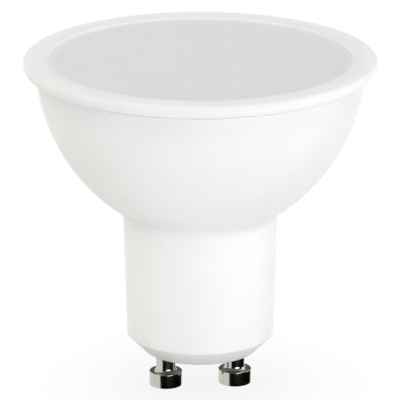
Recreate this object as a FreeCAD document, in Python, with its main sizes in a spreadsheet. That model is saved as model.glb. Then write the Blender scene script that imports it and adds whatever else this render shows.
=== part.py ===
import FreeCAD, Part
import enum
import math
import os
import Sketcher

# A spotlight bulb with a twist-lock base: a moulded housing, a milky front cover and two contact
# pins. Lengths are in millimetres. The bulb stands on the feet of its pins at Z = 0, with the
# pins along X, and shines along +Z.

DIMENSIONS = {
    # Contact pins: a wide foot on a slim shank, with a tail that is pressed into the base.
    "pin_spacing": 10.0,
    "pin_head_diameter": 4.75,
    "pin_head_height": 2.1,
    "pin_shank_diameter": 2.8,
    "pin_shank_length": 3.5,
    "pin_tail_length": 5.0,
    "pin_root_bevel": 0.3,
    "pin_edge_chamfer": 0.1,
    "pin_hole_clearance": 0.03,
    # Housing: bevelled base, neck that flares a little, and a bowl that is part of a sphere between
    # two straight flanks of one length. Shorter flanks make a fuller bowl.
    "base_diameter": 21.0,
    "base_bevel": 2.4,
    "neck_height": 20.7,
    "neck_flare": 0.5,
    "neck_fillet": 2.0,
    "bowl_flank": 4.2,
    "housing_height": 41.0,
    # Shadow line between the bowl's top edge and the rim above it.
    "seam_gap_height": 0.3,
    "seam_gap_depth": 0.25,
    # Front cover: rolled rim, window set below it, and a skirt that plugs into the housing.
    "rim_diameter": 50.0,
    "rim_overhang": 1.75,
    "rim_height": 1.9,
    "rim_top_bevel": 0.35,
    "rim_under_round": 1.25,
    "lip_width": 3.3,
    "window_recess": 0.25,
    "window_slope_width": 0.4,
    "skirt_inset": 1.0,
    "skirt_thickness": 1.2,
    "skirt_depth": 2.5,
    "skirt_clearance": 0.1,
    # The most of a wall or ledge that a rounding on it may take up.
    "round_share": 0.9,
}

# Heights and radii that several features or pieces share, worked out from the sheet.
HEAD_RADIUS = "dims.pin_head_diameter / 2"
SHANK_RADIUS = "dims.pin_shank_diameter / 2"
BASE_HEIGHT = "(dims.pin_head_height + dims.pin_shank_length)"
PIN_LENGTH = f"({BASE_HEIGHT} + dims.pin_tail_length)"
BASE_RADIUS = "dims.base_diameter / 2"
BASE_FACE_RADIUS = f"({BASE_RADIUS} - dims.base_bevel)"
NECK_RADIUS = f"({BASE_RADIUS} + dims.neck_flare)"
RIM_RADIUS = "dims.rim_diameter / 2"
BOWL_RADIUS = f"({RIM_RADIUS} - dims.rim_overhang)"
SEAT_RADIUS = f"({BOWL_RADIUS} - dims.seam_gap_depth)"
SEAT_HEIGHT = "(dims.housing_height + dims.seam_gap_height)"
LIP_RADIUS = f"({RIM_RADIUS} - dims.lip_width)"
WINDOW_RADIUS = f"({LIP_RADIUS} - dims.window_slope_width)"
WINDOW_HEIGHT = "(dims.rim_height - dims.window_recess)"
SKIRT_OUTSIDE = f"({SEAT_RADIUS} - dims.skirt_inset)"
SKIRT_INSIDE = f"({SKIRT_OUTSIDE} - dims.skirt_thickness)"

# The bowl's sphere has its centre on the axis, as far from the top of the neck as from the edge of
# the bowl, so that two flanks of one length touch it. Angles are taken down from the level.
CLIMB = "(dims.housing_height - dims.neck_height)"
SPHERE_HEIGHT = f"(dims.neck_height + ({CLIMB} + ({BOWL_RADIUS} ^ 2 - {NECK_RADIUS} ^ 2) / {CLIMB}) / 2)"
SPHERE_REACH = f"sqrt({NECK_RADIUS} ^ 2 + ({SPHERE_HEIGHT} - dims.neck_height) ^ 2)"
SPHERE_RADIUS = f"sqrt({SPHERE_REACH} ^ 2 - dims.bowl_flank ^ 2)"
FLANK_ANGLE = f"asin(dims.bowl_flank / {SPHERE_REACH})"
LOW_ANGLE = f"(atan(({SPHERE_HEIGHT} - dims.neck_height) / {NECK_RADIUS}) - {FLANK_ANGLE})"
HIGH_ANGLE = f"(atan(({SPHERE_HEIGHT} - dims.housing_height) / {BOWL_RADIUS}) + {FLANK_ANGLE})"

FULL_TURN = 360


class EdgePoint(enum.IntEnum):
    """The points of an edge, in the order in which a sketch's constraints number them."""

    START = enum.auto()
    END = enum.auto()
    CENTRE = enum.auto()


doc = FreeCAD.newDocument("spotlight_bulb")
dims = doc.addObject("Spreadsheet::Sheet", "dims")
for row, (alias, number) in enumerate(DIMENSIONS.items(), start=1):
    dims.set(f"A{row}", alias)
    dims.set(f"B{row}", str(number))
    dims.setAlias(f"B{row}", alias)
doc.recompute()


def size(expression):
    """The number that an expression on the sheet gives."""
    return float(dims.evalExpression(expression))


def origin_plane(body, role):
    return next(item for item in body.Origin.OriginFeatures if item.Role == role)


def new_body(label, along="0", height="0"):
    """An empty body with its own origin at this place along X and this height on the bulb."""
    body = doc.addObject("PartDesign::Body", label)
    body.Label = label
    body.setExpression("Placement.Base.x", along)
    body.setExpression("Placement.Base.z", height)
    return body


def new_sketch(body, name, role):
    sketch = body.newObject("Sketcher::SketchObject", name)
    sketch.AttachmentSupport = [(origin_plane(body, role), "")]
    sketch.MapMode = "FlatFace"
    return sketch


def drive(sketch, name, expression, kind, *where):
    """Give a sketch a dimension that follows the sheet."""
    index = sketch.addConstraint(Sketcher.Constraint(kind, *where, size(expression)))
    sketch.renameConstraint(index, name)
    sketch.setExpression(f"Constraints.{name}", expression)


def place_point(sketch, edge, point, across, up):
    """Hold a point of an edge at driven distances from the sketch's two axes."""
    drive(sketch, f"across_{edge}", across, "DistanceX", edge, point)
    drive(sketch, f"up_{edge}", up, "DistanceY", edge, point)


def on_sphere(angle):
    """The place, (across, up), on the bowl's sphere at an angle below the level."""
    return f"{SPHERE_RADIUS} * cos({angle})", f"{SPHERE_HEIGHT} - {SPHERE_RADIUS} * sin({angle})"


def arc_between(start, end, radius):
    """The arc that turns left from one point to another."""
    chord = end - start
    to_left = FreeCAD.Vector(-chord.y, chord.x, 0).normalize()
    centre = (start + end) / 2 + to_left * math.sqrt(radius**2 - (chord.Length / 2) ** 2)
    angles = [math.atan2(point.y - centre.y, point.x - centre.x) for point in (start, end)]
    return Part.ArcOfCircle(Part.Circle(centre, FreeCAD.Vector(0, 0, 1), radius), *angles)


def draw_outline(sketch, corners):
    """Draw a closed outline round its corners, (across, up), each placed by the sheet.

    A corner with a third value starts an arc of that radius; any other starts a straight edge.
    """
    points = [FreeCAD.Vector(size(corner[0]), size(corner[1]), 0) for corner in corners]
    ends = points[1:] + points[:1]
    for corner, start, end in zip(corners, points, ends):
        is_arc = len(corner) == 3
        edge = arc_between(start, end, size(corner[2])) if is_arc else Part.LineSegment(start, end)
        sketch.addGeometry(edge)
    for edge, corner in enumerate(corners):
        following = (edge + 1) % len(corners)
        sketch.addConstraint(Sketcher.Constraint("Coincident", edge, EdgePoint.END, following, EdgePoint.START))
        place_point(sketch, edge, EdgePoint.START, corner[0], corner[1])
        if len(corner) == 3:
            drive(sketch, f"radius_{edge}", corner[2], "Radius", edge)


def turn(body, kind, name, corners):
    """Turn an outline about the body's own axis, to add to the body or to cut a groove in it."""
    sketch = new_sketch(body, f"{name}_outline", "XZ_Plane")
    draw_outline(sketch, corners)
    feature = body.newObject(f"PartDesign::{kind}", name)
    feature.Profile = sketch
    feature.ReferenceAxis = (sketch, ["V_Axis"])
    feature.Angle = FULL_TURN
    doc.recompute()
    return feature


def ring_edge(feature, across, up):
    """The name of the circular edge that lies nearest to this radius and height."""
    radius, height = size(across), size(up)
    misses = {}
    for number, edge in enumerate(feature.Shape.Edges, start=1):
        if isinstance(edge.Curve, Part.Circle):
            miss = math.hypot(edge.Curve.Radius - radius, edge.Curve.Center.z - height)
            misses[f"Edge{number}"] = miss
    return min(misses, key=misses.get)


def ease_edges(body, kind, name, rings, amount):
    """Round or bevel circular edges, (across, up), of the body as it is so far."""
    before = body.Tip
    feature = body.newObject(f"PartDesign::{kind}", name)
    feature.Base = (before, [ring_edge(before, across, up) for across, up in rings])
    feature.setExpression("Radius" if kind == "Fillet" else "Size", amount)
    doc.recompute()
    return feature


def make_contact_pin(label, along):
    """A turned pin: foot, shank with a bevelled root, and the tail that the base holds."""
    pin = new_body(label, along=along)
    turn(pin, "Revolution", "turned_pin", [
        ("0", "0"),
        (HEAD_RADIUS, "0"),
        (HEAD_RADIUS, "dims.pin_head_height"),
        (SHANK_RADIUS, "dims.pin_head_height"),
        (SHANK_RADIUS, PIN_LENGTH),
        ("0", PIN_LENGTH),
    ])
    ledge = f"({HEAD_RADIUS} - {SHANK_RADIUS} - dims.pin_edge_chamfer)"
    root_bevel = f"min(dims.pin_root_bevel; {ledge} * dims.round_share)"
    ease_edges(pin, "Chamfer", "root_bevel", [(SHANK_RADIUS, "dims.pin_head_height")], root_bevel)
    head_edges = [(HEAD_RADIUS, "0"), (HEAD_RADIUS, "dims.pin_head_height")]
    ease_edges(pin, "Chamfer", "head_chamfer", head_edges, "dims.pin_edge_chamfer")
    return pin


def make_housing():
    """The moulded housing, from the base's end face up to the seat of the cover."""
    housing = new_body("housing", height=BASE_HEIGHT)
    turn(housing, "Revolution", "moulded_body", [
        ("0", "0"),
        (BASE_FACE_RADIUS, "0"),
        (BASE_RADIUS, "dims.base_bevel"),
        (NECK_RADIUS, "dims.neck_height"),
        (*on_sphere(LOW_ANGLE), SPHERE_RADIUS),
        on_sphere(HIGH_ANGLE),
        (BOWL_RADIUS, "dims.housing_height"),
        (SEAT_RADIUS, "dims.housing_height"),
        (SEAT_RADIUS, SEAT_HEIGHT),
        ("0", SEAT_HEIGHT),
    ])
    neck_top = [(NECK_RADIUS, "dims.neck_height")]
    moulded = ease_edges(housing, "Fillet", "neck_fillet", neck_top, "dims.neck_fillet")
    groove = cut_skirt_groove(housing)
    holes = cut_pin_holes(housing)
    check_cuts(moulded, groove, holes)
    return housing


def cut_skirt_groove(housing):
    """The ring-shaped groove in the seat that takes the cover's skirt."""
    inside = f"({SKIRT_INSIDE} - dims.skirt_clearance)"
    outside = f"({SKIRT_OUTSIDE} + dims.skirt_clearance)"
    floor = f"({SEAT_HEIGHT} - dims.skirt_depth - dims.skirt_clearance)"
    return turn(housing, "Groove", "skirt_groove", [
        (inside, floor),
        (outside, floor),
        (outside, SEAT_HEIGHT),
        (inside, SEAT_HEIGHT),
    ])


def cut_pin_holes(housing):
    """The two blind holes in the base's end face, one on each side of the bulb's axis."""
    along = "dims.pin_spacing / 2"
    radius = f"({SHANK_RADIUS} + dims.pin_hole_clearance)"
    sketch = new_sketch(housing, "pin_hole_circle", "XY_Plane")
    centre = FreeCAD.Vector(size(along), 0, 0)
    circle = sketch.addGeometry(Part.Circle(centre, FreeCAD.Vector(0, 0, 1), size(radius)))
    place_point(sketch, circle, EdgePoint.CENTRE, along, "0")
    drive(sketch, "hole_radius", radius, "Radius", circle)
    hole = housing.newObject("PartDesign::Pocket", "pin_hole")
    hole.Profile = sketch
    hole.Reversed = True
    hole.setExpression("Length", "dims.pin_tail_length")
    doc.recompute()
    pair = housing.newObject("PartDesign::Mirrored", "pin_hole_pair")
    pair.Originals = [hole]
    pair.MirrorPlane = (origin_plane(housing, "YZ_Plane"), [""])
    housing.Tip = pair
    doc.recompute()
    return pair


def make_front_cover():
    """The milky cover: a flat window inside a rolled rim, with the skirt below."""
    cover = new_body("front_cover", height=f"{BASE_HEIGHT} + {SEAT_HEIGHT}")
    turn(cover, "Revolution", "moulded_cover", [
        ("0", WINDOW_HEIGHT),
        (WINDOW_RADIUS, WINDOW_HEIGHT),
        (LIP_RADIUS, "dims.rim_height"),
        (RIM_RADIUS, "dims.rim_height"),
        (RIM_RADIUS, "0"),
        (SKIRT_OUTSIDE, "0"),
        (SKIRT_OUTSIDE, "-dims.skirt_depth"),
        (SKIRT_INSIDE, "-dims.skirt_depth"),
        (SKIRT_INSIDE, "0"),
        ("0", "0"),
    ])
    rim_wall = "(dims.rim_height - dims.rim_top_bevel)"
    under_round = f"min(dims.rim_under_round; {rim_wall} * dims.round_share)"
    ease_edges(cover, "Fillet", "rim_under_round", [(RIM_RADIUS, "0")], under_round)
    ease_edges(cover, "Chamfer", "rim_top_bevel", [(RIM_RADIUS, "dims.rim_height")], "dims.rim_top_bevel")
    return cover


def check_cuts(*features):
    """Stop if a feature in a run of cuts took nothing away."""
    for before, after in zip(features, features[1:]):
        if not after.Shape.Volume < before.Shape.Volume:
            raise RuntimeError(f"{after.Label} cuts nothing")


def check_document(pieces):
    """Stop if any object of the document failed, or a piece has no valid shape."""
    failed = [item.Label for item in doc.Objects if {"Invalid", "Error"} & set(item.State)]
    broken = [piece.Label for piece in pieces if piece.Shape.isNull() or not piece.Shape.isValid()]
    if failed or broken:
        raise RuntimeError(f"failed objects {failed}, broken pieces {broken}")


pieces = [
    make_housing(),
    make_front_cover(),
    make_contact_pin("contact_pin_left", "-dims.pin_spacing / 2"),
    make_contact_pin("contact_pin_right", "dims.pin_spacing / 2"),
]
doc.recompute()
check_document(pieces)

os.makedirs("parts", exist_ok=True)
for piece in pieces:
    piece.Shape.exportStep(f"parts/{piece.Label}.step")
    print(f"{piece.Label}: {piece.Shape.Volume:.1f} mm3")
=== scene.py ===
# %% [markdown]
# A spotlight bulb with a twist-lock base stands on its two contact pins, the way it is shown in a
# shop's catalogue. It has four pieces: a white moulded housing, a milky front cover and the two
# turned pins. All of them are round about an upright axis, so each is drawn as half an outline,
# its corners are rounded, and the outline is spun into a solid.

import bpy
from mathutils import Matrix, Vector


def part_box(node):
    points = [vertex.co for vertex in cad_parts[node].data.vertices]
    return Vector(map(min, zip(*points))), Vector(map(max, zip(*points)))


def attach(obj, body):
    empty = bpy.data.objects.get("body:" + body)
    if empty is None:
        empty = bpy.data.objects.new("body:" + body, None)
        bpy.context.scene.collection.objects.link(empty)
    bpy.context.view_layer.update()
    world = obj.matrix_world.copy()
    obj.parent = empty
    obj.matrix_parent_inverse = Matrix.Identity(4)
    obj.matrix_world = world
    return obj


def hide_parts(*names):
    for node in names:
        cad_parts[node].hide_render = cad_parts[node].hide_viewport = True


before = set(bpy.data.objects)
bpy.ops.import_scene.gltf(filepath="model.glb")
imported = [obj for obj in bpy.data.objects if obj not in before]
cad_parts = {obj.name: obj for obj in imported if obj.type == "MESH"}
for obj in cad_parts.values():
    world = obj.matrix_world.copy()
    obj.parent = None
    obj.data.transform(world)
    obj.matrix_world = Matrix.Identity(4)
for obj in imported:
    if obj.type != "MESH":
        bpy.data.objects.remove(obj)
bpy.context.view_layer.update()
print("nodes:", ", ".join(sorted(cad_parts)))

# %% [markdown]
# Blender counts in metres, and this bulb is 50 mm across, so sizes are written in millimetres and
# multiplied once. The overall sizes come from the boxes of the solids. What a box can't tell, such
# as the radius of a fillet, is a named value in the cell that first needs it.

# %% Sizes read from the solids
import math

import bmesh
import bpy
from mathutils import Matrix, Vector

MM = 0.001

housing_low, housing_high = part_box("housing")
cover_low, cover_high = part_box("front_cover")
pin_low, pin_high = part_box("contact_pin_right")

base_height = housing_low.z
seat_height = housing_high.z
bowl_radius = housing_high.x
rim_radius = cover_high.x
rim_top = cover_high.z
skirt_bottom = cover_low.z
pin_offset = (pin_low.x + pin_high.x) / 2
pin_head_radius = (pin_high.x - pin_low.x) / 2
pin_top = pin_high.z
print(f"base at {base_height / MM:.2f} mm, seat at {seat_height / MM:.2f} mm, rim to {rim_top / MM:.2f} mm")
print(f"pins {pin_offset / MM:.2f} mm off the axis, heads {2 * pin_head_radius / MM:.2f} mm across")

# %% [markdown]
# An outline is a chain of edges in the XZ plane: X is the distance from the axis and Z the height.
# An arc whose centre is known is drawn by spinning a vertex about it. A rounded corner is made by
# a bevel whose affect is VERTICES. The bevel wants the distance from the corner to where the arc
# begins, which for a fillet of a given radius is that radius divided by the tangent of half the
# corner's angle. A Bezier curve could be drawn too, but its arcs are only close to round.

# %% Helpers that draw an outline
ROUND_SEGMENTS = 6


def draw_outline(mesh, corners):
    """A chain of edges through corners given as (distance from the axis, height)."""
    points = [mesh.verts.new((across, 0, up)) for across, up in corners]
    for here, there in zip(points, points[1:]):
        mesh.edges.new((here, there))
    return points


def draw_arc(mesh, start, centre, turn, steps):
    """Carry an outline on from a vertex along an arc, and return the vertex at its end."""
    arc = bmesh.ops.spin(mesh, geom=[start], cent=centre, axis=(0, 1, 0), angle=-turn, steps=steps)
    return next(item for item in arc["geom_last"] if isinstance(item, bmesh.types.BMVert))


def round_corner(mesh, corner, radius, segments=ROUND_SEGMENTS):
    """Put an arc of this radius on one corner of an outline."""
    ways = [edge.other_vert(corner).co - corner.co for edge in corner.link_edges]
    reach = radius / math.tan(ways[0].angle(ways[1]) / 2)
    bmesh.ops.bevel(mesh, geom=[corner], affect="VERTICES", offset=reach, offset_type="OFFSET",
                    segments=segments, profile=0.5, material=-1)


def in_mm(point):
    return tuple(round(v / MM, 2) for v in point)


# %% [markdown]
# A full spin leaves one vertex for each step where the outline touches the axis. They are merged
# into a pole, and only then are the normals recalculated, because a spin can come out inside out.
# A Screw modifier would turn the outline as well, but a spun mesh can be worked on at once, and the
# housing needs holes. Smooth shading tilts the normals of a large face where it meets a narrow
# one, so a Weighted Normal modifier lets the large faces decide.

# %% Helpers that spin an outline and finish a piece
SPIN_STEPS = 192
MERGE_DISTANCE = 0.0005 * MM
SHARP_ANGLE = math.radians(40)


def spin_outline(mesh):
    bmesh.ops.spin(mesh, geom=mesh.verts[:] + mesh.edges[:], cent=(0, 0, 0), axis=(0, 0, 1),
                   angle=math.tau, steps=SPIN_STEPS, use_merge=True)
    bmesh.ops.remove_doubles(mesh, verts=mesh.verts[:], dist=MERGE_DISTANCE)


def make_object(mesh, name):
    """Turn a bmesh into an object of the scene."""
    data = bpy.data.meshes.new(name)
    mesh.to_mesh(data)
    mesh.free()
    made = bpy.data.objects.new(name, data)
    bpy.context.scene.collection.objects.link(made)
    return made


def finish_piece(mesh, name, node):
    """Turn a bmesh into a piece that stands for a node of the frame."""
    bmesh.ops.recalc_face_normals(mesh, faces=mesh.faces[:])
    open_edges = sum(1 for edge in mesh.edges if not edge.is_manifold)
    piece = make_object(mesh, name)
    piece.data.shade_smooth()
    piece.data.set_sharp_from_angle(angle=SHARP_ANGLE)
    even = piece.modifiers.new("even_shading", "WEIGHTED_NORMAL")
    even.keep_sharp = True
    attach(piece, "root")
    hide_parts(node)
    print(f"{name}: {len(piece.data.polygons)} faces, {open_edges} open edges")
    return piece


# %% [markdown]
# The housing is one white moulding. From its flat end it goes up through a bevelled collar and a
# neck with a little draft, so that it leaves the mould. Cylinders and cones could be stacked for
# this, but one outline keeps every surface joined to the next. The outline starts a little way
# in from the edge of the flat end, because the rest of that end gets its holes later.

# %% Housing: collar and neck
BASE_RADIUS = 10.5 * MM
BASE_BEVEL = 2.4 * MM
BASE_EDGE_ROUND = 0.25 * MM
FACE_MARGIN = 1.0 * MM
NECK_HEIGHT = 20.7 * MM
NECK_FLARE = 0.5 * MM

housing_mesh = bmesh.new()
_, face_edge, bevel_edge, neck_corner = draw_outline(housing_mesh, [
    (BASE_RADIUS - BASE_BEVEL - FACE_MARGIN, base_height),
    (BASE_RADIUS - BASE_BEVEL, base_height),
    (BASE_RADIUS, base_height + BASE_BEVEL),
    (BASE_RADIUS + NECK_FLARE, base_height + NECK_HEIGHT),
])
print("neck ends at", in_mm(neck_corner.co))

# %% [markdown]
# The bowl is one arc from the top of the neck to just below the cover's seat. Its two ends and its
# radius are known, so its centre lies on the line that halves the chord between the ends, as far
# from the chord's middle as Pythagoras says. A scaled sphere would look much the same, but would
# not meet the neck and the seat at set places.

# %% Housing: bowl
BOWL_CURVE_RADIUS = 26.8 * MM
BOWL_STEPS = 18
SEAM_GAP_HEIGHT = 0.3 * MM

bowl_top = seat_height - SEAM_GAP_HEIGHT
bowl_start = neck_corner.co.copy()
bowl_end = Vector((bowl_radius, 0, bowl_top))
chord = bowl_end - bowl_start
inwards = Vector((-chord.z, 0, chord.x)).normalized()
middle = (bowl_start + bowl_end) / 2
bowl_centre = middle + inwards * math.sqrt(BOWL_CURVE_RADIUS**2 - (chord.length / 2) ** 2)
bowl_turn = (bowl_start - bowl_centre).angle(bowl_end - bowl_centre)
bowl_edge = draw_arc(housing_mesh, neck_corner, bowl_centre, bowl_turn, BOWL_STEPS)
print(f"bowl arc: {math.degrees(bowl_turn):.1f} degrees, ends at {in_mm(bowl_edge.co)}")

# %% [markdown]
# Above the bowl the outline steps in, which leaves a narrow seam under the cover's rim. Then it
# rises to the seat, dips into the groove that takes the cover's skirt, and closes on the axis. The
# corners are rounded last, once every straight edge is drawn, because a bevel needs an edge on
# both sides of its corner. No real moulding has a sharp edge, and these small arcs are what
# catches the light.

# %% Housing: seat, groove and rounded corners
SEAM_GAP_DEPTH = 0.25 * MM
SKIRT_INSET = 1.0 * MM
SKIRT_THICKNESS = 1.2 * MM
SKIRT_CLEARANCE = 0.1 * MM
NECK_FILLET = 2.0 * MM
BOWL_EDGE_ROUND = 0.1 * MM

seat_radius = bowl_radius - SEAM_GAP_DEPTH
skirt_outside = seat_radius - SKIRT_INSET
skirt_inside = skirt_outside - SKIRT_THICKNESS
groove_outside = skirt_outside + SKIRT_CLEARANCE
groove_inside = skirt_inside - SKIRT_CLEARANCE
groove_bottom = skirt_bottom - SKIRT_CLEARANCE

seat = draw_outline(housing_mesh, [
    (seat_radius, bowl_top),
    (seat_radius, seat_height),
    (groove_outside, seat_height),
    (groove_outside, groove_bottom),
    (groove_inside, groove_bottom),
    (groove_inside, seat_height),
    (0, seat_height),
])
housing_mesh.edges.new((bowl_edge, seat[0]))

round_corner(housing_mesh, face_edge, BASE_EDGE_ROUND)
round_corner(housing_mesh, bevel_edge, BASE_EDGE_ROUND)
round_corner(housing_mesh, neck_corner, NECK_FILLET, segments=10)
round_corner(housing_mesh, bowl_edge, BOWL_EDGE_ROUND, segments=3)
spin_outline(housing_mesh)
print("housing before its end is closed:", len(housing_mesh.faces), "faces")

# %% [markdown]
# The flat end has two holes for the pins. The spun shell is still open there, so its open ring and
# two circles bound the end face, and triangle_fill fills what lies between them. A boolean would
# cut the holes as well, but it leaves long slivers in the neighbouring rounded edge.

# %% Housing: end face and pin holes
PIN_HOLE_CLEARANCE = 0.03 * MM
PIN_SHANK_RADIUS = 1.4 * MM
HOLE_SEGMENTS = 48

open_ring = [edge for edge in housing_mesh.edges if edge.is_boundary]
hole_edges = []
for side in (-1, 1):
    mouth = bmesh.ops.create_circle(housing_mesh, cap_ends=False, segments=HOLE_SEGMENTS,
                                    radius=PIN_SHANK_RADIUS + PIN_HOLE_CLEARANCE,
                                    matrix=Matrix.Translation((side * pin_offset, 0, base_height)))
    hole_edges.append(list(dict.fromkeys(edge for vert in mouth["verts"] for edge in vert.link_edges)))
bmesh.ops.triangle_fill(housing_mesh, use_beauty=True, edges=open_ring + hole_edges[0] + hole_edges[1])

for edges in hole_edges:
    sides = bmesh.ops.extrude_edge_only(housing_mesh, edges=edges)["geom"]
    floor_verts = [item for item in sides if isinstance(item, bmesh.types.BMVert)]
    floor_edges = [item for item in sides if isinstance(item, bmesh.types.BMEdge) and item.is_boundary]
    bmesh.ops.translate(housing_mesh, verts=floor_verts, vec=(0, 0, pin_top - base_height))
    bmesh.ops.edgeloop_fill(housing_mesh, edges=floor_edges)

housing = finish_piece(housing_mesh, "housing_shell", "housing")

# %% [markdown]
# The front cover is a second moulding, of milky plastic that spreads the light. Its rim rolls over
# the edge of the bowl, a small cove leads down from the rim to the flat window, and a skirt
# underneath drops into the housing's groove. The cove is an arc again, drawn from the window's
# edge. An inset and an extrude on a disc would sink the window too, but with a sharp foot.

# %% Front cover
LIP_WIDTH = 3.3 * MM
LIP_ROUND = 0.1 * MM
COVE_WIDTH = 0.4 * MM
COVE_STEPS = 5
WINDOW_RECESS = 0.25 * MM
RIM_TOP_ROUND = 0.5 * MM
RIM_UNDER_ROUND = 1.25 * MM

lip_radius = rim_radius - LIP_WIDTH
window_radius = lip_radius - COVE_WIDTH
window_height = rim_top - WINDOW_RECESS
cove_radius = (COVE_WIDTH**2 + WINDOW_RECESS**2) / (2 * WINDOW_RECESS)
cove_centre = (window_radius, 0, window_height + cove_radius)
cove_turn = math.asin(COVE_WIDTH / cove_radius)

cover_mesh = bmesh.new()
_, window_edge = draw_outline(cover_mesh, [(0, window_height), (window_radius, window_height)])
lip_edge = draw_arc(cover_mesh, window_edge, cove_centre, cove_turn, COVE_STEPS)
rim = draw_outline(cover_mesh, [
    (rim_radius, rim_top),
    (rim_radius, seat_height),
    (skirt_outside, seat_height),
    (skirt_outside, skirt_bottom),
    (skirt_inside, skirt_bottom),
    (skirt_inside, seat_height),
    (0, seat_height),
])
cover_mesh.edges.new((lip_edge, rim[0]))
print(f"cove radius {cove_radius / MM:.2f} mm, ends at {in_mm(lip_edge.co)}")

round_corner(cover_mesh, lip_edge, LIP_ROUND, segments=4)
round_corner(cover_mesh, rim[0], RIM_TOP_ROUND, segments=8)
round_corner(cover_mesh, rim[1], RIM_UNDER_ROUND, segments=12)
spin_outline(cover_mesh)
cover = finish_piece(cover_mesh, "milky_cover", "front_cover")

# %% [markdown]
# The contact pins are turned from rod: a wide foot that catches behind the holder's slots when the
# bulb is twisted, and a shank that is pressed into the housing. A lathe cuts an outline, so
# spinning one is the nearest thing to how they are made. Both are spun on the axis and then moved
# in their mesh to where they belong, so the objects stay at the origin.

# %% Contact pins
PIN_HEAD_HEIGHT = 2.1 * MM
PIN_EDGE_ROUND = 0.1 * MM
PIN_FILLET = 0.55 * MM


def turn_pin(side, place):
    mesh = bmesh.new()
    outline = draw_outline(mesh, [
        (0, 0),
        (pin_head_radius, 0),
        (pin_head_radius, PIN_HEAD_HEIGHT),
        (PIN_SHANK_RADIUS, PIN_HEAD_HEIGHT),
        (PIN_SHANK_RADIUS, pin_top),
        (0, pin_top),
    ])
    round_corner(mesh, outline[1], PIN_EDGE_ROUND)
    round_corner(mesh, outline[2], PIN_EDGE_ROUND)
    round_corner(mesh, outline[3], PIN_FILLET)
    spin_outline(mesh)
    bmesh.ops.translate(mesh, verts=mesh.verts[:], vec=(place, 0, 0))
    return finish_piece(mesh, f"turned_pin_{side}", f"contact_pin_{side}")


pins = [turn_pin("left", -pin_offset), turn_pin("right", pin_offset)]

# %% [markdown]
# A finish starts from the Principled shader and Object coordinates, which are metres here, so a
# noise of scale 1000 has features about a millimetre wide. A painted picture would need a UV map
# and would show its pixels up close, while a noise stays fine at any distance. The first helper
# starts a material, and each of the others adds one node: a noise, a change of range, a blend of
# two colours, a bump that turns a height into small tilts of the surface, and the height of a
# place.

# %% Helpers for the finishes
def start_finish(name):
    finish = bpy.data.materials.new(name)
    finish.use_nodes = True
    tree = finish.node_tree
    place = tree.nodes.new("ShaderNodeTexCoord").outputs["Object"]
    return finish, tree, tree.nodes["Principled BSDF"], place


def add_noise(tree, place, scale, detail=2.0, roughness=0.5):
    node = tree.nodes.new("ShaderNodeTexNoise")
    node.inputs["Scale"].default_value = scale
    node.inputs["Detail"].default_value = detail
    node.inputs["Roughness"].default_value = roughness
    tree.links.new(place, node.inputs["Vector"])
    return node.outputs["Fac"]


def add_range(tree, value, low, high, from_low=0.3, from_high=0.7):
    """Stretch a value to a new range; a noise stays mostly between 0.3 and 0.7."""
    node = tree.nodes.new("ShaderNodeMapRange")
    node.inputs["From Min"].default_value = from_low
    node.inputs["From Max"].default_value = from_high
    node.inputs["To Min"].default_value = low
    node.inputs["To Max"].default_value = high
    tree.links.new(value, node.inputs["Value"])
    return node.outputs["Result"]


def add_blend(tree, share, first, second):
    """Blend two colours, each a plain colour or another node's output."""
    node = tree.nodes.new("ShaderNodeMix")
    node.data_type = "RGBA"
    tree.links.new(share, node.inputs["Factor"])
    # The Mix node has sockets for each kind of data, and 6, 7 and output 2 are those for colours.
    for socket, colour in ((node.inputs[6], first), (node.inputs[7], second)):
        if isinstance(colour, bpy.types.NodeSocket):
            tree.links.new(colour, socket)
        else:
            socket.default_value = (*colour, 1)
    return node.outputs[2]


def add_bump(tree, height, strength, depth, below=None):
    node = tree.nodes.new("ShaderNodeBump")
    node.inputs["Strength"].default_value = strength
    node.inputs["Distance"].default_value = depth
    tree.links.new(height, node.inputs["Height"])
    if below is not None:
        tree.links.new(below, node.inputs["Normal"])
    return node.outputs["Normal"]


def add_height(tree, place):
    node = tree.nodes.new("ShaderNodeSeparateXYZ")
    tree.links.new(place, node.inputs["Vector"])
    return node.outputs["Z"]


# %% [markdown]
# The housing is a satin white plastic. Light goes a millimetre or two into it before it comes out,
# which softens shadows such as the one under the rim, so much of the white is subsurface. A plain
# diffuse white would look like chalk. The white drifts a little between warm and neutral. The neck
# is painted a touch whiter than the bowl, which is painted light, because the neck is better lit
# than the bowl. One fades into the other by height.

# %% Finish: white moulding, its colour
NECK_FADE_LOW = 22 * MM
NECK_FADE_HIGH = 31 * MM
PAINTED_LIT_NECK_WARM = (0.898, 0.890, 0.875)
PAINTED_LIT_NECK_NEUTRAL = (0.916, 0.908, 0.899)
BOWL_WARM = (0.865, 0.856, 0.840)
BOWL_NEUTRAL = (0.883, 0.874, 0.864)
SCATTER_BY_COLOUR = (1.0, 0.95, 0.85)


def set_scatter(shader, weight, depth):
    """Let light into a plastic; red goes a little deeper than blue."""
    shader.inputs["Subsurface Weight"].default_value = weight
    shader.inputs["Subsurface Radius"].default_value = SCATTER_BY_COLOUR
    shader.inputs["Subsurface Scale"].default_value = depth


white_moulding, tree, shader, place = start_finish("white_moulding")
drift = add_range(tree, add_noise(tree, place, scale=160, detail=3), low=0, high=1)
# Painted light: the neck's white is lighter than the bowl's, and fades into it by height.
neck_white_with_painted_light = add_blend(tree, drift, PAINTED_LIT_NECK_WARM, PAINTED_LIT_NECK_NEUTRAL)
bowl_white = add_blend(tree, drift, BOWL_WARM, BOWL_NEUTRAL)
on_bowl = add_range(tree, add_height(tree, place), 0, 1, NECK_FADE_LOW, NECK_FADE_HIGH)
tree.links.new(add_blend(tree, on_bowl, neck_white_with_painted_light, bowl_white), shader.inputs["Base Color"])
set_scatter(shader, weight=0.65, depth=1.6 * MM)
print("neck fades into bowl between", NECK_FADE_LOW / MM, "and", NECK_FADE_HIGH / MM, "mm")

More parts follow.
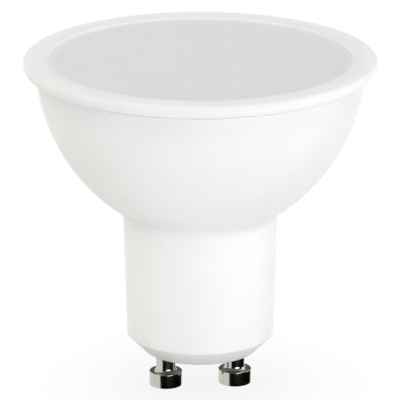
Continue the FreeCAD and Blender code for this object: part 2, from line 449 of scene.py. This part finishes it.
# %% [markdown]
# Up close the moulding has a fine spark-eroded grain from the mould, a tenth of a millimetre wide,
# and a very shallow waviness where the plastic shrank. Both are far too small to model, so they
# are bumps, one on top of the other. The gloss varies slightly from place to place.

# %% Finish: white moulding, its surface
gloss = add_range(tree, add_noise(tree, place, scale=420, detail=4), low=0.36, high=0.46)
tree.links.new(gloss, shader.inputs["Roughness"])
waviness = add_bump(tree, add_noise(tree, place, scale=260), strength=0.12, depth=0.05 * MM)
grain_height = add_noise(tree, place, scale=9000, detail=3)
grain = add_bump(tree, grain_height, strength=0.10, depth=0.010 * MM, below=waviness)
tree.links.new(grain, shader.inputs["Normal"])
housing.data.materials.append(white_moulding)
print(white_moulding.name, "has", len(tree.nodes), "nodes")

# %% [markdown]
# The cover is milky: light goes in, scatters and comes out again nearby, which subsurface does.
# Its lip lies on the white housing and is the whitest, a white that holds painted light, because
# the top of the rim is lit more than its side. Behind the window is the lamp's chamber, so less light
# comes back and it looks greyer. The thin outer edge is painted darker, a painted shade on the rim's
# side and underside. Three materials on three sets of faces would change abruptly, so the distance
# from the axis tells the three apart, and each fades into the next.

# %% Finish: milky moulding, its colour
WINDOW_FADE = 0.9 * MM
LIP_FADE = 0.3 * MM
EDGE_FADE = 0.8 * MM
WINDOW_DIM = (0.813, 0.791, 0.823)
WINDOW_CLEAR = (0.828, 0.806, 0.839)
PAINTED_LIT_LIP_DIM = (0.938, 0.909, 0.938)
PAINTED_LIT_LIP_CLEAR = (0.950, 0.921, 0.950)
PAINTED_SHADE_EDGE_DIM = (0.798, 0.787, 0.785)
PAINTED_SHADE_EDGE_CLEAR = (0.816, 0.805, 0.803)


def add_axis_distance(tree, place):
    """How far a place is from the upright axis through the origin of its coordinates."""
    flatten = tree.nodes.new("ShaderNodeVectorMath")
    flatten.operation = "MULTIPLY"
    flatten.inputs[1].default_value = (1, 1, 0)
    tree.links.new(place, flatten.inputs[0])
    length = tree.nodes.new("ShaderNodeVectorMath")
    length.operation = "LENGTH"
    tree.links.new(flatten.outputs["Vector"], length.inputs[0])
    return length.outputs["Value"]


milky_moulding, tree, shader, place = start_finish("milky_moulding")
from_axis = add_axis_distance(tree, place)
on_lip = add_range(tree, from_axis, 0, 1, window_radius - WINDOW_FADE, lip_radius + LIP_FADE)
on_edge = add_range(tree, from_axis, 0, 1, rim_radius - EDGE_FADE, rim_radius)
cloud = add_range(tree, add_noise(tree, place, scale=240, detail=3), low=0, high=1)
window_white = add_blend(tree, cloud, WINDOW_DIM, WINDOW_CLEAR)
# Painted light: the lip is painted whiter than the window and the edge.
lip_white_with_painted_light = add_blend(tree, cloud, PAINTED_LIT_LIP_DIM, PAINTED_LIT_LIP_CLEAR)
# Painted shade: the rim's outer edge is painted darker than the lip.
edge_white_with_painted_shade = add_blend(tree, cloud, PAINTED_SHADE_EDGE_DIM, PAINTED_SHADE_EDGE_CLEAR)
inside_edge = add_blend(tree, on_lip, window_white, lip_white_with_painted_light)
tree.links.new(add_blend(tree, on_edge, inside_edge, edge_white_with_painted_shade), shader.inputs["Base Color"])
set_scatter(shader, weight=0.8, depth=2.0 * MM)
print(f"window inside {window_radius / MM:.1f} mm, lip from {lip_radius / MM:.1f} mm")

# %% [markdown]
# The cover is finely frosted, so that it shows no clear reflection: its roughness is higher than
# the housing's, its specular level is low, and a very fine noise tilts the surface.

# %% Finish: milky moulding, its surface
shader.inputs["Specular IOR Level"].default_value = 0.12
gloss = add_range(tree, add_noise(tree, place, scale=500, detail=4), low=0.46, high=0.56)
tree.links.new(gloss, shader.inputs["Roughness"])
frost = add_bump(tree, add_noise(tree, place, scale=7000, detail=3), strength=0.10, depth=0.010 * MM)
tree.links.new(frost, shader.inputs["Normal"])
cover.data.materials.append(milky_moulding)
print(milky_moulding.name, "has", len(tree.nodes), "nodes")

# %% [markdown]
# The pins are nickel plated, a metal that is faintly yellow beside chrome. The lathe left rings
# round each pin's own axis. The pins stand at equal distances left and right of the bulb's axis,
# so the absolute value of X, less that distance, centres one pattern on both of them, and one
# material does for two pins. A noise that reads only the distance from that axis and the height is
# the same all the way round, which makes rings of it.

# %% Finish: nickel plate
NICKEL_BRIGHT = (0.57, 0.575, 0.50)
NICKEL_DULL = (0.50, 0.50, 0.425)

nickel_plate, tree, shader, place = start_finish("nickel_plate")
both_sides = tree.nodes.new("ShaderNodeVectorMath")
both_sides.operation = "ABSOLUTE"
tree.links.new(place, both_sides.inputs[0])
on_pin = tree.nodes.new("ShaderNodeMapping")
on_pin.inputs["Location"].default_value = (-pin_offset, 0, 0)
tree.links.new(both_sides.outputs["Vector"], on_pin.inputs["Vector"])
ring_place = tree.nodes.new("ShaderNodeCombineXYZ")
tree.links.new(add_axis_distance(tree, on_pin.outputs["Vector"]), ring_place.inputs["X"])
tree.links.new(add_height(tree, on_pin.outputs["Vector"]), ring_place.inputs["Z"])
rings = add_noise(tree, ring_place.outputs["Vector"], scale=9000, detail=3)
tree.links.new(add_bump(tree, rings, strength=0.10, depth=0.004 * MM), shader.inputs["Normal"])

tarnish = add_range(tree, add_noise(tree, place, scale=900, detail=5, roughness=0.6), low=0, high=1)
tree.links.new(add_blend(tree, tarnish, NICKEL_BRIGHT, NICKEL_DULL), shader.inputs["Base Color"])
tree.links.new(add_range(tree, tarnish, 0.12, 0.20, 0, 1), shader.inputs["Roughness"])
shader.inputs["Metallic"].default_value = 1.0
for pin in pins:
    pin.data.materials.append(nickel_plate)
print(nickel_plate.name, "has", len(tree.nodes), "nodes")

# %% [markdown]
# The picture is taken from a little above, with a long lens, from just left of the line through
# the middle. The camera looks at a point close to the bulb's axis. A constraint could keep it
# aimed, but nothing moves here, so a quaternion that turns its Z away from the bulb is enough.

# %% Camera
CAMERA_AZIMUTH = -5.9
CAMERA_ELEVATION = 17.66
CAMERA_DISTANCE = 615.0 * MM
CAMERA_LENS = 388
CAMERA_SENSOR = 36
CAMERA_CLIP_START = 0.01
LOOK_AT = Vector((-0.04, 0, 27.69)) * MM


def way_to(azimuth, elevation):
    """The way from the bulb to a place, in degrees; azimuth 0 is the front and 90 the right."""
    turn = math.radians(azimuth)
    rise = math.radians(elevation)
    return Vector((math.sin(turn) * math.cos(rise), -math.cos(turn) * math.cos(rise), math.sin(rise)))


outwards = way_to(CAMERA_AZIMUTH, CAMERA_ELEVATION)
camera = bpy.data.objects.new("camera", bpy.data.cameras.new("camera"))
camera.data.lens = CAMERA_LENS
camera.data.sensor_width = CAMERA_SENSOR
camera.data.clip_start = CAMERA_CLIP_START
camera.location = LOOK_AT + outwards * CAMERA_DISTANCE
camera.rotation_euler = outwards.to_track_quat("Z", "Y").to_euler()
bpy.context.scene.collection.objects.link(camera)
bpy.context.scene.camera = camera
print("camera at", tuple(round(v, 3) for v in camera.location))

# %% [markdown]
# The background is white. The world is white for what the camera sees, directly or in a
# reflection, and a little dimmer for the light that it sends onto the bulb, so that the white
# plastic keeps its shading instead of burning out. More light would whiten the background too, but
# it would burn out the bulb, so the kind of ray decides instead.

# %% World
AMBIENT = 0.55
WHITE = (1, 1, 1, 1)


def sees_background(tree):
    """1 for a ray from the camera, a reflection or a refraction, and 0 for one that gathers light."""
    rays = tree.nodes.new("ShaderNodeLightPath")
    seen = rays.outputs["Is Camera Ray"]
    for kind in ("Is Glossy Ray", "Is Transmission Ray"):
        add = tree.nodes.new("ShaderNodeMath")
        add.operation = "ADD"
        add.use_clamp = True
        tree.links.new(seen, add.inputs[0])
        tree.links.new(rays.outputs[kind], add.inputs[1])
        seen = add.outputs["Value"]
    return seen


def choose_surface(tree, share, first, second, output):
    """Show the second shader by this share, and the first for the rest."""
    choose = tree.nodes.new("ShaderNodeMixShader")
    tree.links.new(share, choose.inputs["Fac"])
    tree.links.new(first, choose.inputs[1])
    tree.links.new(second, choose.inputs[2])
    tree.links.new(choose.outputs["Shader"], tree.nodes[output].inputs["Surface"])


world = bpy.data.worlds.new("white_studio")
world.use_nodes = True
bpy.context.scene.world = world
tree = world.node_tree
lighting = tree.nodes["Background"]
lighting.inputs["Color"].default_value = WHITE
lighting.inputs["Strength"].default_value = AMBIENT
backdrop = tree.nodes.new("ShaderNodeBackground")
backdrop.inputs["Color"].default_value = WHITE
backdrop.inputs["Strength"].default_value = 1.0
choose_surface(tree, sees_background(tree), lighting.outputs["Background"], backdrop.outputs["Background"],
               "World Output")
print("world sends", AMBIENT, "of white onto the bulb")

# %% [markdown]
# The floor is a round sheet of white card, so wide that its edge is out of the picture. It is kept
# out of reflections, so that the pins mirror the dark cards that are set up further on. A shadow
# catcher would keep the shadow alone, but that needs a second step after the render.

# %% Floor: the sheet
FLOOR_RADIUS = 1.2
FLOOR_SEGMENTS = 96

floor_mesh = bmesh.new()
bmesh.ops.create_circle(floor_mesh, cap_ends=True, segments=FLOOR_SEGMENTS, radius=FLOOR_RADIUS)
floor = make_object(floor_mesh, "floor")
floor.visible_glossy = False
print("floor", 2 * FLOOR_RADIUS, "m across")

# %% [markdown]
# The card is lit like anything else, so the bulb throws its shadow on it, and a share of plain
# white is mixed in for the camera so that it meets the background without a line. That share grows
# with the distance from the bulb. Right under the base the card is painted grey, a painted shadow
# that throws little light up onto the bevelled collar.

# %% Floor: its finish
FLOOR_WHITE_NEAR = 0.88
FLOOR_FADE_END = 30 * MM
PAINTED_SHADOW_RADIUS = 10 * MM
PAINTED_SHADOW_FADE_END = 24 * MM
PAINTED_SHADOW_GREY = (0.15, 0.15, 0.15)
PAPER_WHITE = (0.87, 0.87, 0.87)

card = bpy.data.materials.new("white_card")
card.use_nodes = True
tree = card.node_tree
tree.nodes.remove(tree.nodes["Principled BSDF"])
from_bulb = add_axis_distance(tree, tree.nodes.new("ShaderNodeTexCoord").outputs["Object"])
# Painted shadow: the card is grey under the base and fades to white further out.
clear_of_painted_shadow = add_range(tree, from_bulb, 0, 1, PAINTED_SHADOW_RADIUS, PAINTED_SHADOW_FADE_END)
paper = tree.nodes.new("ShaderNodeBsdfDiffuse")
tree.links.new(add_blend(tree, clear_of_painted_shadow, PAINTED_SHADOW_GREY, PAPER_WHITE), paper.inputs["Color"])
glow = tree.nodes.new("ShaderNodeEmission")
glow.inputs["Strength"].default_value = 1.0

seen_share = tree.nodes.new("ShaderNodeMath")
seen_share.operation = "MULTIPLY"
tree.links.new(add_range(tree, from_bulb, FLOOR_WHITE_NEAR, 1, 0, FLOOR_FADE_END), seen_share.inputs[0])
tree.links.new(sees_background(tree), seen_share.inputs[1])
choose_surface(tree, seen_share.outputs["Value"], paper.outputs["BSDF"], glow.outputs["Emission"],
               "Material Output")
floor.data.materials.append(card)
print(card.name, "has", len(tree.nodes), "nodes")

# %% [markdown]
# Three softboxes light the bulb: a key to the right of the camera, one on the right, and one on the
# left that keeps the shaded side open. The key is wide and low, so that its light gets in under
# the rim. The left one is faintly yellow beside the other two, and is kept out of reflections, so
# that it draws no bright line along the rim. Glowing planes would do as well, but area lamps leave
# less noise. An area lamp shines along its own minus Z, so it is turned until that points at the
# bulb. Sizes and distances are in metres here, and angles in degrees.

# %% Softboxes
BOX_DISTANCE = 0.7
COOL_WHITE = (0.96, 0.95, 1.0)
YELLOW_WHITE = (0.99, 0.995, 0.88)


def add_softbox(name, azimuth, elevation, width, height, power, colour):
    lamp = bpy.data.lights.new(name, "AREA")
    lamp.shape = "RECTANGLE"
    lamp.size = width
    lamp.size_y = height
    lamp.energy = power
    lamp.color = colour
    box = bpy.data.objects.new(name, lamp)
    away = way_to(azimuth, elevation)
    box.location = away * BOX_DISTANCE
    box.rotation_euler = away.to_track_quat("Z", "Y").to_euler()
    box.visible_camera = False
    bpy.context.scene.collection.objects.link(box)
    print(name, "at", tuple(round(v, 2) for v in box.location), f"{power} W")
    return box


add_softbox("key_softbox", azimuth=23, elevation=9, width=0.50, height=0.17,
            power=2.37, colour=COOL_WHITE)
add_softbox("right_softbox", azimuth=105, elevation=22, width=0.40, height=0.50,
            power=1.12, colour=COOL_WHITE)
left_softbox = add_softbox("left_softbox", azimuth=-105, elevation=45, width=0.40, height=0.50,
                           power=1.74, colour=YELLOW_WHITE)
left_softbox.visible_glossy = False

# %% [markdown]
# Polished metal shows what stands round it, and in a white room it would look white too. So dark
# cards are set round it, as in a studio. A black one goes round the front and the right, beyond
# the softboxes and down below the level of the floor, where the sides of the pins mirror it. It
# stops short of the back, because the outline of the white plastic mirrors the background there.
# An olive-grey card stands behind, for the tops of the pins' feet. Only reflections see the cards,
# so they throw no shadow and dim the plastic no more than its own faint gloss lets them. A darker
# metal would need no cards, but its bright half would be dark too. The outlines are in metres.

# %% Dark cards for the metal
CARD_STEPS = 64
BLACK = (0.004, 0.004, 0.004)
OLIVE_GREY = (0.14, 0.145, 0.11)


def add_card(name, colour, outline, start, turn):
    """Spin an outline from one azimuth through a turn, both in degrees."""
    mesh = bmesh.new()
    draw_outline(mesh, outline)
    to_start = Matrix.Rotation(math.radians(start) - math.pi / 2, 3, "Z")
    bmesh.ops.rotate(mesh, verts=mesh.verts[:], cent=(0, 0, 0), matrix=to_start)
    bmesh.ops.spin(mesh, geom=mesh.verts[:] + mesh.edges[:], cent=(0, 0, 0), axis=(0, 0, 1),
                   angle=math.radians(turn), steps=CARD_STEPS)
    screen = make_object(mesh, name)
    board = bpy.data.materials.new(name)
    board.use_nodes = True
    sockets = board.node_tree.nodes["Principled BSDF"].inputs
    sockets["Base Color"].default_value = (*colour, 1)
    sockets["Roughness"].default_value = 1.0
    sockets["Specular IOR Level"].default_value = 0.0
    screen.data.materials.append(board)
    screen.visible_camera = False
    screen.visible_diffuse = False
    screen.visible_shadow = False
    screen.visible_transmission = False
    print(name, "spans", turn, "degrees")


black_outline = [(0.1, -0.9), (0.9, -0.9), (0.9, 0.8)]
olive_outline = [(0.8, 0.0), (0.8, 0.5)]
add_card("black_surround", BLACK, black_outline, start=-45, turn=180)
add_card("olive_back", OLIVE_GREY, olive_outline, start=140, turn=60)

# %% [markdown]
# The Standard view transform shows a colour as it is written.

# %% View and the end
bpy.context.scene.view_settings.view_transform = "Standard"
